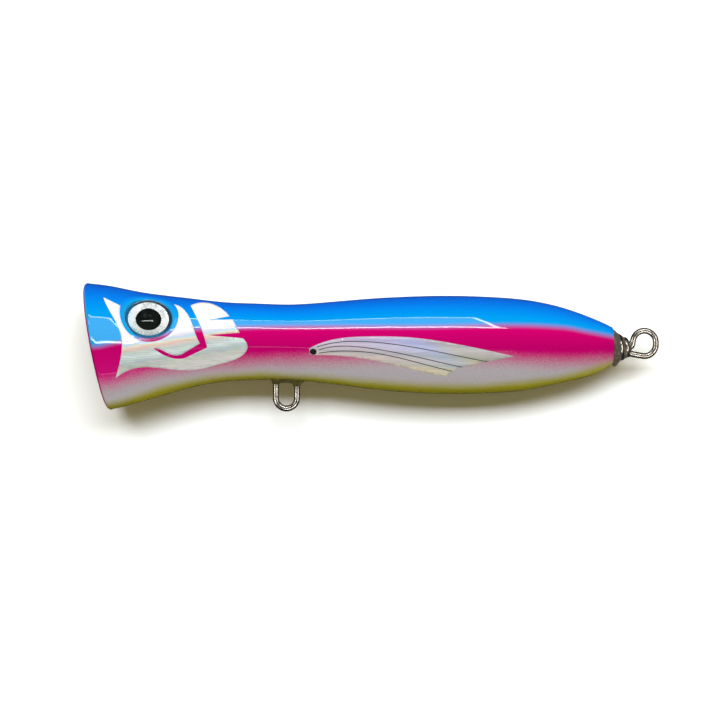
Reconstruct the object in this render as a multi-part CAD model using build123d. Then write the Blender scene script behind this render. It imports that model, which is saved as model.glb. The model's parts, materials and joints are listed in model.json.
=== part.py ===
from build123d import *
import math
import os

# Topwater popper: two carved wooden halves glued round a through-wire frame, with foils and
# 3-D eyes under a thick clear coat. Millimetres.
# Origin: centre of the line-tie eye in the cup. +X runs to the tail, +Z is the back, the left
# flank faces -Y. The through wire lies on the X axis.

os.makedirs("parts", exist_ok=True)

# ---- driving dimensions ----
WIRE = 1.8                      # diameter of the stainless wire
WIRE_R = WIRE / 2
COAT = 0.5                      # clear coat over the paint
REACH = 60.0                    # size of a cutter that has to run right out of the body
BEYOND = 1.0                    # how far a close cutter runs past what it cuts
# Finished body, nose to tail: place along X, height of the back, height of the belly.
PROFILE = [
    (-14.0, 20.25, -20.15), (-4.0, 19.05, -18.65), (5.8, 17.45, -17.05), (14.8, 15.95, -14.55),
    (23.8, 14.95, -12.05), (33.0, 13.85, -10.25), (44.0, 13.35, -9.6), (57.0, 13.2, -9.85),
    (69.0, 14.1, -11.2), (83.0, 15.15, -12.85), (98.0, 15.65, -13.75), (111.0, 15.45, -13.7),
    (122.8, 14.65, -12.9), (130.5, 13.4, -11.55), (138.0, 11.35, -9.9), (144.0, 9.15, -8.25),
    (149.0, 6.95, -5.85), (152.0, 5.25, -4.25),
]
TAIL_X = 150.5                  # where the painted body ends

# Cup: the rim lies in a plane that leans back towards the throat.
RIM_CENTRE = Vector(-4.4, 0, 0.7)
RIM_LEAN = 10.8                 # degrees
CUP_MOUTH_R = 17.2
CUP_DEPTH = 12.5
CUP_R = (CUP_MOUTH_R**2 + CUP_DEPTH**2) / (2 * CUP_DEPTH)
FORWARD = Vector(-math.cos(math.radians(RIM_LEAN)), 0, -math.sin(math.radians(RIM_LEAN)))

# The through wire's eyes, to the middle of the wire: where the shank turns up, where the loop's
# end comes back under it, the centres of the eye's low and high rounds, and their radius. The line
# tie is given turned round, as if it pointed at the tail.
TAIL_EYE = {"apex": (156.25, 0), "landing": (155.4, -1.6), "low": (160.1, 1.0), "high": (160.1, 1.75),
            "radius": 3.43}
LINE_TIE = {"apex": (-5.4, 0), "landing": (-5.3, -1.6), "low": (0, 0), "high": (0, 0), "radius": 3.5}
EYE_BEND = 1.5                  # bend of the shank into an eye
SHANK_END = 150.0               # where the straight shank becomes the tail loop
NOSE_SHANK_END = 20.0
# Wraps round the shank: start along X, growth of the radius, pitch, turns.
WRAP_R = 1.87                   # radius of the first wrap
TAIL_WRAPS = (155.15, 1.0, 1.87, 1.7)
NOSE_WRAPS = (5.3, 0.0, 1.95, 1.75)
KNUCKLE_R = WIRE_R + 0.08       # bend where a loop's end turns into its first wrap
KNUCKLE_Z = -1.75

# Wire channel and its epoxy.
CHANNEL_R = 2 * WIRE_R
NOSE_PLUG_R, NOSE_PLUG_FRONT, NOSE_PLUG_BACK = 3.4, 7.3, 12.0
TAIL_BOSS_R, TAIL_BOSS_FRONT = 2.8, 146.0
TAIL_BAND = ((TAIL_X, 0.5, 5.5), (152.3, 0.2, 4.4))     # (x, centre height, radius) of its two ends

# Belly hanger: a U of wire whose legs end in eyes round the through wire.
HANGER_X = (49.55, 55.9)
HANGER_LOW = -19.05             # underside of the loop
HANGER_EYE_R = 1.95
HANGER_EYE_WIRE_R = 0.95        # the eyes are hammered a little wider than the wire
SLOT_X = (47.0, 58.5)
SLOT_HALF_WIDTH = 3.2
SLOT_TOP = 3.4
COLLAR_ROOT = -8.8              # height where the collars grow out of the slot's epoxy
COLLAR_EDGE = 0.1               # thickness where a collar thins out on the leg
COLLARS = ((HANGER_X[0], -10.95, 1.9), (HANGER_X[1], -11.6, 2.4))   # leg, lowest point, root radius

# Lead ballast: rods that lie along the belly, half in each half of the body.
BALLAST = {"ballast_belly": (96.0, -7.3, 4.0, 24.0), "ballast_tail": (131.0, -5.4, 3.0, 14.0)}

# 3-D eyes, as built on the left flank.
EYE_PLACE = Vector(12.45, -13.0, 9.5)
EYE_NORMAL = Vector(0.092, -0.809, 0.581)
EYE_SEAT_R = 7.2
EYE_SEAT_DEPTH = 1.75
EYE_R = 6.0
PUPIL_R = 3.55
PUPIL_DROP = 0.7                # the pupil is printed a little below the middle of the film
FILM = 0.2
PUPIL_THICK = 0.1
DOME_HEIGHT = 2.4

# Foils lie in the coat, between a sealing layer on the wood and the top layers.
FOIL_INNER = 0.35               # how far below the finished surface
FOIL_OUTER = 0.23
DOT_OUTER = 0.13
DOT_PLACE, DOT_R = (61.0, -1.1), 1.05
SLIT = 0.26                     # gap between the fin's rays

# Cheek foil: runs of points round its edge. Each run starts where the last one ended, and is
# straight where it has one point.
HEAD_FOIL = [
    [(-1.0, 14.6), (2.0, 9.3), (4.6, 4.0), (5.0, 0.2), (4.2, -4.8), (2.9, -8.9)],
    [(5.6, -7.1), (9.5, -5.8), (15.3, -5.8), (21.6, -6.4), (28.0, -6.0), (33.7, -4.5),
     (39.1, -2.8), (41.4, -0.5), (40.2, 2.8)],
    [(29.9, 3.7)], [(39.3, 4.4)], [(37.1, 8.2)], [(29.4, 8.0)], [(36.1, 9.2)],
    [(33.1, 11.7), (29.9, 13.0), (26.6, 13.1), (24.5, 12.3)],
    [(26.7, 8.4), (29.7, 0.1)],
    [(23.1, -3.0)],
    [(18.8, -2.8), (16.0, -1.5), (14.1, -0.1)],
    [(16.0, -0.5), (19.0, -1.9), (23.1, -1.4)],
    [(27.6, 1.3)],
    [(26.0, 4.8), (24.4, 8.8), (22.3, 11.4), (19.7, 12.6)],
    [(21.2, 9.4), (19.6, 4.8), (15.0, 2.0), (10.8, 2.0), (7.2, 4.0), (4.9, 7.2), (4.1, 12.2)],
    [(-1.0, 14.6)],
]

# Fin foil: one sheet, slit into four rays that fan out behind the root.
FIN_FOIL = [
    [(59.7, -0.2), (63.2, 1.4), (69.0, 2.8), (76.9, 3.3), (88.4, 3.1), (102.1, 1.3), (120.3, -2.5)],
    [(112.4, -4.0)], [(104.8, -5.6)], [(101.9, -6.8)], [(100.1, -8.2)],
    [(90.6, -6.3), (79.0, -3.7), (70.6, -2.5), (62.1, -2.1)],
    [(60.0, -1.9)], [(59.7, -0.2)],
]
FIN_SLITS = [
    [(62.1, 0.3), (69.0, 1.7), (79.5, 1.6), (92.7, -0.2), (113.4, -4.2)],
    [(62.7, -0.5), (67.4, 0.4), (76.9, 0.0), (92.7, -2.9), (105.8, -5.8)],
    [(62.7, -1.5), (70.6, -0.9), (79.0, -1.5), (92.7, -4.5), (102.9, -7.0)],
]


# ---- body blanks ----
def body_blank(inset):
    """The turned outer shape, smaller all round by inset, with the nose still uncut."""
    rings = []
    for x, back, belly in PROFILE:
        plane = Plane(origin=(x, 0, (back + belly) / 2), x_dir=(0, 1, 0), z_dir=(1, 0, 0))
        rings.append(plane * Circle((back - belly) / 2 - inset))
    return loft(rings)


def mouth_cutter(inset):
    """Everything in front of the leaning rim, with the cup's bowl; inset is a depth of coat."""
    rim_radius = math.sqrt((CUP_R + inset)**2 - (CUP_R - CUP_DEPTH + inset)**2)
    bowl_top = CUP_R - CUP_DEPTH + inset
    half_way = math.radians(35)
    bowl = ThreePointArc(
        (rim_radius, 0),
        ((CUP_R + inset) * math.sin(half_way), bowl_top - (CUP_R + inset) * math.cos(half_way)),
        (0, bowl_top - CUP_R - inset),
    )
    edges = [
        bowl,
        Line(bowl @ 1, (0, REACH)),
        Line((0, REACH), (REACH, REACH)),
        Line((REACH, REACH), (REACH, 0)),
        Line((REACH, 0), bowl @ 0),
    ]
    cutter = revolve(Plane.XZ * make_face(Wire(edges)), axis=Axis.Z)
    return Plane(origin=RIM_CENTRE - FORWARD * inset, z_dir=FORWARD) * cutter


def cup_cut(blank, inset):
    """Cut the leaning rim, the cup and the tail end."""
    behind = Pos(TAIL_X + REACH / 2, 0, 0) * Box(REACH, REACH, REACH)
    return blank - mouth_cutter(inset) - behind


def rod_x(x_start, x_end, radius, height=0.0):
    """A cylinder along X."""
    middle = Pos((x_start + x_end) / 2, 0, height)
    return middle * Rot(0, 90, 0) * Cylinder(radius, x_end - x_start)


# ---- wire ----
def tube(path):
    """Round wire along a path."""
    return sweep(Plane(origin=path @ 0, z_dir=path % 0) * Circle(WIRE_R), path=path)


def touch_point(start, centre, radius, side):
    """Where a straight line from start touches a circle, above (+1) or below (-1) it."""
    across, up = centre[0] - start[0], centre[1] - start[1]
    distance = math.hypot(across, up)
    direction = math.atan2(up, across) + side * math.asin(radius / distance)
    length = math.sqrt(distance**2 - radius**2)
    return (start[0] + length * math.cos(direction), start[1] + length * math.sin(direction))


def angle_from(centre, point):
    """Direction of a point seen from a centre, in degrees."""
    return math.degrees(math.atan2(point[1] - centre[1], point[0] - centre[0]))


def loop_path(shank_start, apex, landing, low, high, radius):
    """Shank, bend, round the eye over its top, and back to the landing under the shank.
    The eye is drawn out between a low and a high circle of one radius."""
    up = touch_point(apex, high, radius, 1)
    down = touch_point(landing, low, radius, -1)
    rise = angle_from(apex, up)
    setback = EYE_BEND * math.tan(math.radians(rise / 2))
    turn = (apex[0] - setback, apex[1] + EYE_BEND)
    steep = math.radians(rise)
    bend_end = (turn[0] + EYE_BEND * math.sin(steep), turn[1] - EYE_BEND * math.cos(steep))
    over = angle_from(high, up)
    under = angle_from(low, down) % 360 - 360
    edges = [
        Line(shank_start, (apex[0] - setback, apex[1])),
        CenterArc(turn, EYE_BEND, -90, rise),
        Line(bend_end, up),
        CenterArc(high, radius, over, -over),
    ]
    if high[1] > low[1]:
        edges.append(Line((high[0] + radius, high[1]), (low[0] + radius, low[1])))
    edges += [CenterArc(low, radius, 0, under), Line(down, landing)]
    return Plane.XZ * Wire(edges)


def coil(towards, start_x, growth, pitch, turns):
    """Wraps round the shank, from under it, along X and wider by growth each turn."""
    cone = math.degrees(math.atan(growth / pitch))
    slant = pitch / math.cos(math.radians(cone))
    path = Helix(slant, slant * turns, WRAP_R, direction=(towards, 0, 0), cone_angle=cone)
    start = path @ 0
    path = path.rotate(Axis.X, -90 - math.degrees(math.atan2(start.Z, start.Y)))
    path = Pos(start_x, 0, 0) * path
    section = Plane(origin=path @ 0, z_dir=path % 0) * Circle(WIRE_R)
    return sweep(section, path=path, is_frenet=True)


def knuckle(x):
    """Rounded bend where the loop's end turns into its first wrap."""
    return Pos(x, 0, KNUCKLE_Z) * Sphere(KNUCKLE_R)


def through_wire():
    """Line-tie eye, wraps, shank, tail wraps and tail eye, bent from one length of wire."""
    shank = rod_x(NOSE_SHANK_END, SHANK_END, WIRE_R)
    tail = tube(loop_path((SHANK_END, 0), **TAIL_EYE))
    nose = mirror(tube(loop_path((-NOSE_SHANK_END, 0), **LINE_TIE)), about=Plane.YZ)
    wire = shank + tail + nose
    wire = wire + (coil(-1, *TAIL_WRAPS) + knuckle(TAIL_WRAPS[0]))
    return wire + (coil(1, *NOSE_WRAPS) + knuckle(NOSE_WRAPS[0]))


def belly_hanger():
    """U-shaped loop with an eye at the top of each leg."""
    front, rear = HANGER_X
    radius = (rear - front) / 2
    low = HANGER_LOW + WIRE_R + radius
    u_path = Plane.XZ * Wire([
        Line((front, -HANGER_EYE_R), (front, low)),
        CenterArc(((front + rear) / 2, low), radius, 180, 180),
        Line((rear, low), (rear, -HANGER_EYE_R)),
    ])
    eyes = [Pos(x, 0, 0) * Rot(0, 90, 0) * Torus(HANGER_EYE_R, HANGER_EYE_WIRE_R) for x in HANGER_X]
    return tube(u_path) + eyes[0] + eyes[1]


def hanger_slot():
    """Slot cut up from the belly for the hanger."""
    length = SLOT_X[1] - SLOT_X[0]
    depth = SLOT_TOP + REACH / 2
    return Pos(sum(SLOT_X) / 2, 0, SLOT_TOP - depth / 2) * Box(length, 2 * SLOT_HALF_WIDTH, depth)


def collar(x, lowest, root_radius):
    """Epoxy fillet that runs down a hanger leg from the belly."""
    cone = Cone(WIRE_R + COLLAR_EDGE, root_radius, COLLAR_ROOT - lowest)
    return Pos(x, 0, (COLLAR_ROOT + lowest) / 2) * cone


# ---- eyes ----
EYE_SEAT = Plane(
    origin=EYE_PLACE - EYE_NORMAL * EYE_SEAT_DEPTH,
    x_dir=Vector(0, 0, 1).cross(EYE_NORMAL),
    z_dir=EYE_NORMAL,
)


def disc(radius, bottom, top, drop=0.0):
    """A disc on the left eye's seat, or a little below its middle."""
    return EYE_SEAT * Pos(0, -drop, (bottom + top) / 2) * Cylinder(radius, top - bottom)


def pupil():
    """The printed disc, a little below the middle of the film."""
    return disc(PUPIL_R, FILM, FILM + PUPIL_THICK, PUPIL_DROP)


def eye_dome():
    """Cast resin lens, hollowed under by the pupil's thickness."""
    lens_r = (EYE_R**2 + DOME_HEIGHT**2) / (2 * DOME_HEIGHT)
    ball = EYE_SEAT * Pos(0, 0, FILM + DOME_HEIGHT - lens_r) * Sphere(lens_r)
    lens = ball & disc(EYE_R + BEYOND, FILM, FILM + DOME_HEIGHT + BEYOND)
    return lens - pupil()


# ---- foils ----
def run_edge(points):
    """A straight edge, or a smooth one through three or more points."""
    return Line(*points) if len(points) == 2 else Spline(*points)


def outline_prism(runs):
    """A bar along Y with the given closed outline, through the left flank."""
    edges = []
    corner = runs[-1][-1]
    for run in runs:
        points = run if run[0] == corner else [corner] + run
        edges.append(run_edge(points))
        corner = run[-1]
    face = Plane.XZ * make_face(Wire(edges))
    return extrude(face, amount=REACH / 2, dir=(0, -1, 0))


def slit_prism(points):
    """A narrow bar along a fin slit."""
    upper = [(x, z + SLIT / 2) for x, z in points]
    lower = [(x, z - SLIT / 2) for x, z in reversed(points)]
    return outline_prism([upper, [lower[0]], lower, [upper[0]]])


# ---- assemble ----
def both_flanks(name, solid):
    """A piece of the left flank and its mirror image."""
    return {f"{name}_left": solid, f"{name}_right": mirror(solid, about=Plane.XZ)}


nodes = {}
wire = through_wire()
hanger = belly_hanger()
slot = hanger_slot()
finished = cup_cut(body_blank(0), 0)
core = cup_cut(body_blank(COAT), COAT)
foil_top = body_blank(FOIL_OUTER)
foil_bottom = body_blank(FOIL_INNER)

nodes["through_wire"] = wire
nodes["belly_hanger"] = hanger

head = (outline_prism(HEAD_FOIL) & foil_top) - foil_bottom
fin = outline_prism(FIN_FOIL)
for slit_points in FIN_SLITS:
    fin -= slit_prism(slit_points)
fin = (fin & foil_top) - foil_bottom
dot_bar = Plane.XZ * Pos(*DOT_PLACE, REACH / 4) * Cylinder(DOT_R, REACH / 2)
dot = (dot_bar & body_blank(DOT_OUTER)) - foil_top
flank_pieces = {
    "foil_head": head,
    "foil_fin": fin,
    "fin_dot": dot,
    "eye_film": disc(EYE_R, 0, FILM),
    "eye_pupil": pupil(),
    "eye_dome": eye_dome(),
}
for name, solid in flank_pieces.items():
    nodes.update(both_flanks(name, solid))

channel = rod_x(NOSE_PLUG_BACK, TAIL_BOSS_FRONT, CHANNEL_R)
straight_wire = rod_x(0, SHANK_END, WIRE_R)
nodes["wire_bedding"] = channel - straight_wire - slot
nodes["nose_plug"] = rod_x(NOSE_PLUG_FRONT, NOSE_PLUG_BACK, NOSE_PLUG_R) - wire
band = loft([Plane(origin=(x, 0, z), z_dir=(1, 0, 0)) * Circle(r) for x, z, r in TAIL_BAND])
nodes["tail_plug"] = rod_x(TAIL_BOSS_FRONT, TAIL_X, TAIL_BOSS_R) + band - wire
collars = collar(*COLLARS[0]) + collar(*COLLARS[1])
nodes["hanger_bedding"] = (slot & core) + collars - straight_wire - hanger

nose_bore = rod_x(-REACH / 2, NOSE_PLUG_BACK, NOSE_PLUG_R)
tail_bore = rod_x(TAIL_BOSS_FRONT, TAIL_X + BEYOND, TAIL_BOSS_R)
pockets = slot + channel + nose_bore + tail_bore
for name, (x, z, radius, length) in BALLAST.items():
    nodes[name] = rod_x(x - length / 2, x + length / 2, radius, z)
    pockets += nodes[name]

seat = disc(EYE_SEAT_R, 0, REACH / 4)
seats = seat + mirror(seat, about=Plane.XZ)
wood = core - pockets - seats
nodes["wood_left"] = split(wood, bisect_by=Plane.XZ, keep=Keep.TOP)
nodes["wood_right"] = split(wood, bisect_by=Plane.XZ, keep=Keep.BOTTOM)

coat = finished - core - seats - nose_bore - collars
for name in ("foil_head", "foil_fin", "fin_dot"):
    coat = coat - nodes[f"{name}_left"] - nodes[f"{name}_right"]
nodes["clear_coat"] = coat

for name, solid in nodes.items():
    export_step(solid, f"parts/{name}.step")
    print(name, "volume", round(solid.volume, 2))
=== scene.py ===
import json
import math

import bmesh
import bpy
import numpy as np
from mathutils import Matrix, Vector
from mathutils.bvhtree import BVHTree
from mathutils.geometry import delaunay_2d_cdt

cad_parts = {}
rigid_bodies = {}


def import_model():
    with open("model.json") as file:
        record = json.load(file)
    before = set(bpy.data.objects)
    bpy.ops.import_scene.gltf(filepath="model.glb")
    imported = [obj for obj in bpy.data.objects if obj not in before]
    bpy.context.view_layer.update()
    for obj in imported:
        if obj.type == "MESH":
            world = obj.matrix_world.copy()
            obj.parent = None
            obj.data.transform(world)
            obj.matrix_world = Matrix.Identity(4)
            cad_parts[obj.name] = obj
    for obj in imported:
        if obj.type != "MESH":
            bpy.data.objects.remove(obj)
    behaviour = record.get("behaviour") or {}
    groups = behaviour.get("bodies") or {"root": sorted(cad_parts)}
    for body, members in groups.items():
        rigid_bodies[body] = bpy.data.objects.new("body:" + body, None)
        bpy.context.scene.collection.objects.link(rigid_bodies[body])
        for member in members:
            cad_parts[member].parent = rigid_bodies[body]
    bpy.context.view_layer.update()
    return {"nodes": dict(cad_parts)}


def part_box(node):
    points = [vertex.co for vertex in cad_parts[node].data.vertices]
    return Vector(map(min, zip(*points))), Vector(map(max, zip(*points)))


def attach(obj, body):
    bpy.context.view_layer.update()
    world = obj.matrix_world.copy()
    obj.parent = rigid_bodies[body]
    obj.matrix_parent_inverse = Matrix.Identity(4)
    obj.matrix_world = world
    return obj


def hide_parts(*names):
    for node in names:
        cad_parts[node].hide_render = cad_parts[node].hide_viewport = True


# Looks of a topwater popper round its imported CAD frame. Mesh code works in millimetres, in the
# frame's own axes: +X to the tail, +Z to the back, the left flank at -Y.

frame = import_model()
MM = 0.001
SIDES = {"left": -1, "right": 1}


# ---- what the frame gives ----
def node_points(node):
    """A CAD node's vertices in millimetres."""
    return np.array([v.co for v in frame["nodes"][node].data.vertices]) / MM


COAT_POINTS = node_points("clear_coat")
RIM_TOP = COAT_POINTS[COAT_POINTS[:, 2].argmax()]
RIM_BOTTOM = COAT_POINTS[COAT_POINTS[:, 2].argmin()]
RIM_CENTRE = np.array([(RIM_TOP[0] + RIM_BOTTOM[0]) / 2, 0, (RIM_TOP[2] + RIM_BOTTOM[2]) / 2])
RIM_LEAN = math.atan2(RIM_BOTTOM[0] - RIM_TOP[0], RIM_TOP[2] - RIM_BOTTOM[2])
FORWARD = np.array([-math.cos(RIM_LEAN), 0, -math.sin(RIM_LEAN)])
TAIL_END = COAT_POINTS[:, 0].max()
CUP_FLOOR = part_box("nose_plug")[0].x / MM + 0.6

FILM_POINTS = node_points("eye_film_left")
EYE_CENTRE = FILM_POINTS.mean(axis=0)
EYE_OUT = np.linalg.svd(FILM_POINTS - EYE_CENTRE)[2][2]
EYE_OUT = EYE_OUT * -np.sign(EYE_OUT[1])
EYE_SEAT = EYE_CENTRE - EYE_OUT * 0.1
EYE_ACROSS = np.cross([0, 0, 1], EYE_OUT)
EYE_ACROSS /= np.linalg.norm(EYE_ACROSS)
EYE_UP = np.cross(EYE_OUT, EYE_ACROSS)


# ---- the body's round sections, fitted to the coat's outer surface ----
KNOTS = np.concatenate([np.arange(-10, 126, 9), np.arange(130, 156, 4.2)])


def spline_basis(x):
    """Cubic B-spline basis over KNOTS, one row for each x."""
    x = np.clip(np.atleast_1d(x), KNOTS[0], KNOTS[-1] - 1e-6)[:, None]
    t = np.concatenate([[KNOTS[0]] * 3, KNOTS, [KNOTS[-1]] * 3])
    basis = ((t[:-1] <= x) & (x < t[1:])).astype(float)
    for degree in (1, 2, 3):
        rise = t[degree:-1] - t[:-degree - 1]
        fall = t[degree + 1:] - t[1:-degree]
        up = np.divide(x - t[:-degree - 1], rise, out=np.zeros((len(x), len(rise))), where=rise > 0)
        down = np.divide(t[degree + 1:] - x, fall, out=np.zeros((len(x), len(fall))), where=fall > 0)
        basis = up * basis[:, :-1] + down * basis[:, 1:]
    return basis


def outer_hits():
    """Points where rays from outside, aimed at the wire's line, meet the coat."""
    coat = frame["nodes"]["clear_coat"].data
    tree = BVHTree.FromPolygons([v.co for v in coat.vertices], [p.vertices for p in coat.polygons])
    hits = []
    for x in np.linspace(RIM_TOP[0] + 0.2, TAIL_END - 0.2, 150):
        for turn in np.arange(0, 2 * math.pi, math.radians(7.5)):
            out = Vector((0, math.sin(turn), math.cos(turn)))
            hit, normal, _, _ = tree.ray_cast(Vector((x * MM, 0, 0)) + out * 0.04, -out)
            if hit is not None and hit.dot(out) > 0.004 and normal.dot(out) > 0.5:
                hits.append(hit / MM)
    return np.array(hits)


def fit_sections():
    """Spline weights of the section centres and of radius squared less centre squared."""
    points = outer_hits()
    bend = np.diff(np.eye(len(KNOTS) + 2), n=2, axis=0) * 0.02
    stiff = np.zeros((2 * len(bend), 2 * (len(KNOTS) + 2)))
    stiff[:len(bend), :len(KNOTS) + 2] = bend
    stiff[len(bend):, len(KNOTS) + 2:] = bend
    keep = np.full(len(points), True)
    for limit in (1.5, 0.3, 0.08, 0.05):
        x, y, z = points[keep].T
        basis = spline_basis(x)
        rows = np.vstack([np.hstack([2 * z[:, None] * basis, basis]), stiff])
        goal = np.concatenate([y**2 + z**2, np.zeros(len(stiff))])
        weights = np.linalg.lstsq(rows, goal, rcond=None)[0]
        centre_weights, square_weights = weights[:len(KNOTS) + 2], weights[len(KNOTS) + 2:]
        basis = spline_basis(points[:, 0])
        centre = basis @ centre_weights
        radius = np.sqrt(np.maximum(basis @ square_weights + centre**2, 0.1))
        keep = np.abs(np.hypot(points[:, 1], points[:, 2] - centre) - radius) < limit
    return centre_weights, square_weights


CENTRE_WEIGHTS, SQUARE_WEIGHTS = fit_sections()


def section(x):
    """Centre height and radius of the finished body at each x."""
    shape = np.shape(x)
    basis = spline_basis(np.ravel(x))
    centre = basis @ CENTRE_WEIGHTS
    radius = np.sqrt(np.maximum(basis @ SQUARE_WEIGHTS + centre**2, 0.01))
    return centre.reshape(shape), radius.reshape(shape)


def on_body(x, turn, lift=0.0):
    """Points on the finished body. turn runs from the back over the left flank."""
    step = 0.25
    centre, radius = section(x)
    ahead = section(np.asarray(x) + step)
    behind = section(np.asarray(x) - step)
    centre_slope = (ahead[0] - behind[0]) / (2 * step)
    radius_slope = (ahead[1] - behind[1]) / (2 * step)
    out = np.stack([-(centre_slope * np.cos(turn) + radius_slope), -np.sin(turn), np.cos(turn)], axis=-1)
    out /= np.linalg.norm(out, axis=-1, keepdims=True)
    base = np.stack([x + 0 * turn, -radius * np.sin(turn), centre + radius * np.cos(turn)], axis=-1)
    return base + out * np.asarray(lift)[..., None]


# ---- mesh helpers ----
def shade_smooth(mesh):
    mesh.polygons.foreach_set("use_smooth", [True] * len(mesh.polygons))


def link_object(name, data):
    made = bpy.data.objects.new(name, data)
    bpy.context.scene.collection.objects.link(made)
    return made


def drop_loose(work):
    loose = [v for v in work.verts if not v.link_faces]
    bmesh.ops.delete(work, geom=loose, context="VERTS")


def new_object(name, points, faces, *materials):
    """A mesh object from points in millimetres."""
    mesh = bpy.data.meshes.new(name)
    mesh.from_pydata([tuple(p) for p in np.asarray(points) * MM], [], [tuple(f) for f in faces])
    mesh.validate()
    for material in materials:
        mesh.materials.append(material)
    shade_smooth(mesh)
    return link_object(name, mesh)


def settle(piece, slot, *stands_for):
    """The piece rides on the body and stands for CAD nodes, which it hides; slot is not used."""
    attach(piece, "root")
    if stands_for:
        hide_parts(*stands_for)
    return piece


def apply_modifiers(piece):
    """Bakes the modifiers into the mesh."""
    graph = bpy.context.evaluated_depsgraph_get()
    made = bpy.data.meshes.new_from_object(piece.evaluated_get(graph))
    piece.modifiers.clear()
    piece.data = made
    shade_smooth(made)


def strip_faces(rows, columns, first=0):
    """Quads between rings of vertices that close on themselves."""
    faces = []
    for i in range(rows - 1):
        for j in range(columns):
            k = (j + 1) % columns
            a = first + i * columns
            faces.append((a + j, a + k, a + columns + k, a + columns + j))
    return faces


# ---- node materials ----
def srgb(code, alpha=1.0):
    """Linear colour of a hexadecimal sRGB one."""
    parts = [int(code[i:i + 2], 16) / 255 for i in (0, 2, 4)]
    return tuple(c / 12.92 if c <= 0.04045 else ((c + 0.055) / 1.055)**2.4 for c in parts) + (alpha,)


class Shader:
    """The nodes of a material or a world. Most methods add a node and return what comes out of it."""

    def __init__(self, name, owners=bpy.data.materials, output="OutputMaterial"):
        self.owner = owners.new(name)
        self.owner.use_nodes = True
        self.tree = self.owner.node_tree
        self.tree.nodes.clear()
        self.output = self.tree.nodes.new("ShaderNode" + output)

    def feed(self, socket, value):
        if isinstance(value, bpy.types.NodeSocket):
            self.tree.links.new(value, socket)
        else:
            socket.default_value = value

    def add(self, kind, **inputs):
        node = self.tree.nodes.new("ShaderNode" + kind)
        for name, value in inputs.items():
            self.feed(node.inputs[name.replace("_", " ")], value)
        return node

    def math(self, operation, first, second=0.0, clamp=False):
        node = self.tree.nodes.new("ShaderNodeMath")
        node.operation = operation
        node.use_clamp = clamp
        self.feed(node.inputs[0], first)
        self.feed(node.inputs[1], second)
        return node.outputs[0]

    def vector(self, operation, first, second=(0, 0, 0)):
        node = self.tree.nodes.new("ShaderNodeVectorMath")
        node.operation = operation
        self.feed(node.inputs[0], first)
        self.feed(node.inputs[1], second)
        return node.outputs["Value" if operation in ("DOT_PRODUCT", "LENGTH", "DISTANCE") else "Vector"]

    def choose(self, factor, first, second):
        """The first shader where factor is 0 and the second where it is 1."""
        node = self.tree.nodes.new("ShaderNodeMixShader")
        for socket, value in zip(node.inputs, (factor, first, second)):
            self.feed(socket, value)
        return node.outputs[0]

    def blend(self, factor, first, second, mode="MIX"):
        node = self.tree.nodes.new("ShaderNodeMix")
        node.data_type = "RGBA"
        node.blend_type = mode
        self.feed(node.inputs[0], factor)
        self.feed(node.inputs[6], first)
        self.feed(node.inputs[7], second)
        return node.outputs[2]

    def smooth(self, value, start, end):
        """0 before start and 1 after end, with a soft step between."""
        node = self.add("MapRange", Value=value, From_Min=start, From_Max=end)
        node.interpolation_type = "SMOOTHSTEP"
        return node.outputs[0]

    def fade(self, value, start, end):
        """1 before start and 0 after end."""
        return self.math("SUBTRACT", 1.0, self.smooth(value, start, end))

    def drift(self, noise, amount):
        """A noise centred on 0, amount high from bottom to top."""
        return self.math("MULTIPLY", self.math("SUBTRACT", noise, 0.5), amount)

    def ramp(self, value, stops, low=0.0, high=1.0):
        """Colours at places between low and high."""
        scaled = self.add("MapRange", Value=value, From_Min=low, From_Max=high)
        node = self.add("ValToRGB", Fac=scaled.outputs[0])
        elements = node.color_ramp.elements
        while len(elements) < len(stops):
            elements.new(0.5)
        for element, (place, colour) in zip(elements, stops):
            element.position = (place - low) / (high - low)
            element.color = srgb(colour)
        return node.outputs[0]

    def curve(self, x, points, low=-20.0, high=20.0, start=-10.0, end=155.0):
        """A height that follows points given along x."""
        scaled = self.add("MapRange", Value=x, From_Min=start, From_Max=end)
        node = self.add("FloatCurve", Value=scaled.outputs[0])
        line = node.mapping.curves[0]
        placed = [((px - start) / (end - start), (pz - low) / (high - low)) for px, pz in points]
        line.points[0].location = placed[0]
        line.points[1].location = placed[-1]
        for place in placed[1:-1]:
            line.points.new(*place)
        node.mapping.update()
        return self.remap(node.outputs[0], low, high)

    def remap(self, value, low, high):
        """A value of 0 to 1 as one from low to high."""
        return self.add("MapRange", Value=value, To_Min=low, To_Max=high).outputs[0]

    def noise(self, vector, scale, detail=2.0, rough=0.5):
        node = self.add("TexNoise", Vector=vector, Scale=scale, Detail=detail, Roughness=rough)
        return node.outputs["Fac"]

    def cells(self, vector, scale):
        """A random colour for each small cell."""
        node = self.add("TexVoronoi", Vector=vector, Scale=scale)
        return node.outputs["Color"]

    def place(self):
        """The point in millimetres, and its three parts."""
        spot = self.add("TexCoord").outputs["Object"]
        scaled = self.vector("SCALE", spot)
        scaled.node.inputs["Scale"].default_value = 1 / MM
        parts = self.add("SeparateXYZ", Vector=scaled).outputs
        return scaled, parts[0], parts[1], parts[2]

    def stretch(self, vector, factors):
        return self.vector("MULTIPLY", vector, factors)

    def bump(self, height, distance, strength=1.0):
        return self.add("Bump", Height=height, Distance=distance, Strength=strength).outputs[0]

    def from_eye(self, x, y, z):
        """The way from the left eye's seat to the point, or to its mirror image on the right flank."""
        left_y = self.math("MULTIPLY", self.math("ABSOLUTE", y), -1.0)
        mirrored = self.add("CombineXYZ", X=x, Y=left_y, Z=z).outputs[0]
        return self.vector("SUBTRACT", mirrored, tuple(EYE_SEAT))

    def finish(self, **inputs):
        """Ends in a Principled shader; an underscore in a name is a space."""
        return self.show(self.add("BsdfPrincipled", **inputs).outputs[0])

    def show(self, shader):
        self.feed(self.output.inputs["Surface"], shader)
        return self.owner


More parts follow.
